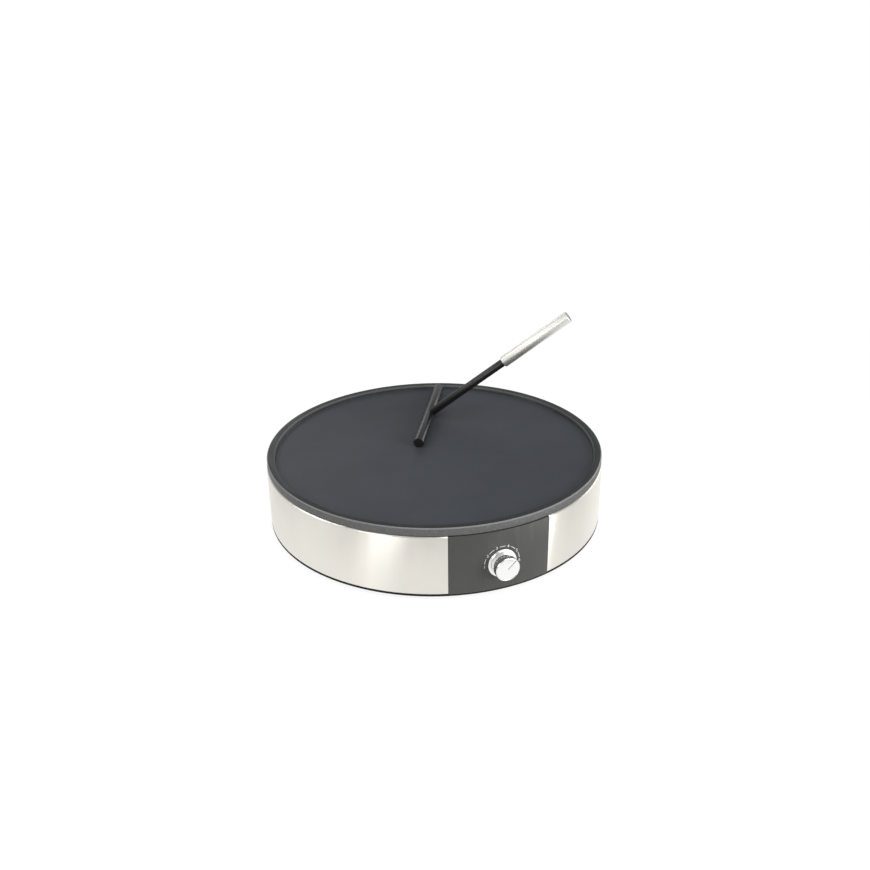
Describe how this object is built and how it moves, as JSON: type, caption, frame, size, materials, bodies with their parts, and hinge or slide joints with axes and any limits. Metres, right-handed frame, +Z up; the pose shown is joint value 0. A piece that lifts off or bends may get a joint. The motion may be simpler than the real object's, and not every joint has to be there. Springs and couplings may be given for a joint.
{
  "type": "electric crepe maker",
  "caption": "Round countertop crepe griddle: a dark rimmed hotplate on a brushed-steel drum with a front heat dial, and a T-shaped batter spreader with a steel grip.",
  "frame": {"origin": "centre of the plane that the four feet stand on, on the axis of the round hotplate", "axes": "+Z up, -Y towards the user: the control panel and its knob face -Y and the cord leaves at +Y"},
  "size_m": [0.353, 0.3684, 0.2029],
  "materials": {
    "nonstick_coating": "satin dark nonstick coating over cast aluminium",
    "heater_sheath": "dull oxidised steel sheath",
    "plain_steel": "zinc-plated sheet steel, dull",
    "screw_steel": "zinc-plated, slightly yellow",
    "band_steel": "brushed stainless steel with a warm sheen",
    "body_plastic": "fine-grained dark grey moulded plastic",
    "foot_rubber": "matte black rubber",
    "thermostat_plastic": "cream glass-filled plastic",
    "shaft_steel": "turned steel",
    "copper_tube": "drawn copper, dull",
    "cutout_case": "matt pressed can",
    "chrome_trim": "bright plated",
    "satin_metal": "circular-brushed satin face",
    "knob_plastic": "black moulded plastic",
    "cord_rubber": "black moulded rubber",
    "terminal_plastic": "natural nylon",
    "tab_brass": "plated brass, dull",
    "live_wire": "brown sleeving",
    "neutral_wire": "blue sleeving",
    "heater_wire": "white glass-fibre sleeving",
    "earth_wire": "green sleeving with yellow stripes",
    "spreader_black": "smooth matte black",
    "handle_steel": "satin brushed steel tube"
  },
  "bodies": {
    "base": {"hotplate": "nonstick_coating", "heating_element": "heater_sheath", "element_terminals": "tab_brass", "element_clamps": "plain_steel", "clamp_screws": "screw_steel", "clip_screws": "screw_steel", "sensor_bulb": "copper_tube", "bulb_clip": "plain_steel", "thermal_cutout": "cutout_case", "cutout_clip": "plain_steel", "earth_screw": "screw_steel", "heat_shield": "plain_steel", "spacer_sleeves": "plain_steel", "plate_screws": "screw_steel", "side_band": "band_steel", "band_screws": "screw_steel", "control_panel": "body_plastic", "panel_screws": "screw_steel", "base_tray": "body_plastic", "rubber_feet": "foot_rubber", "thermostat_body": "thermostat_plastic", "thermostat_bracket": "plain_steel", "thermostat_screws": "screw_steel", "thermostat_tabs": "tab_brass", "capillary_tube": "copper_tube", "bezel_ring": "chrome_trim", "cord_grommet": "cord_rubber", "cord_clamp": "terminal_plastic", "cord_clamp_screws": "screw_steel", "terminal_block": "terminal_plastic", "terminal_screws": "tab_brass", "live_lead": "live_wire", "neutral_lead": "neutral_wire", "heater_lead": "heater_wire", "cutout_lead": "heater_wire", "earth_lead": "earth_wire"},
    "knob": {"knob_sleeve": "chrome_trim", "knob_face": "satin_metal", "knob_core": "knob_plastic", "thermostat_shaft": "shaft_steel"},
    "spreader": {"spreader_bar": "spreader_black", "spreader_stick": "spreader_black", "spreader_ferrule": "spreader_black", "spreader_handle": "handle_steel", "spreader_end_cap": "spreader_black"}
  },
  "joints": [
    {"name": "knob_turn", "type": "hinge", "parent": "base", "child": "knob", "pos_m": [0, -0.1765, 0.033], "axis": [0, 1, 0], "range_deg": [-155, 65]},
    {"name": "spreader_lift", "type": "slide", "parent": "base", "child": "spreader", "axis": [0, 0, 1], "range_m": [0, 0.15]}
  ]
}
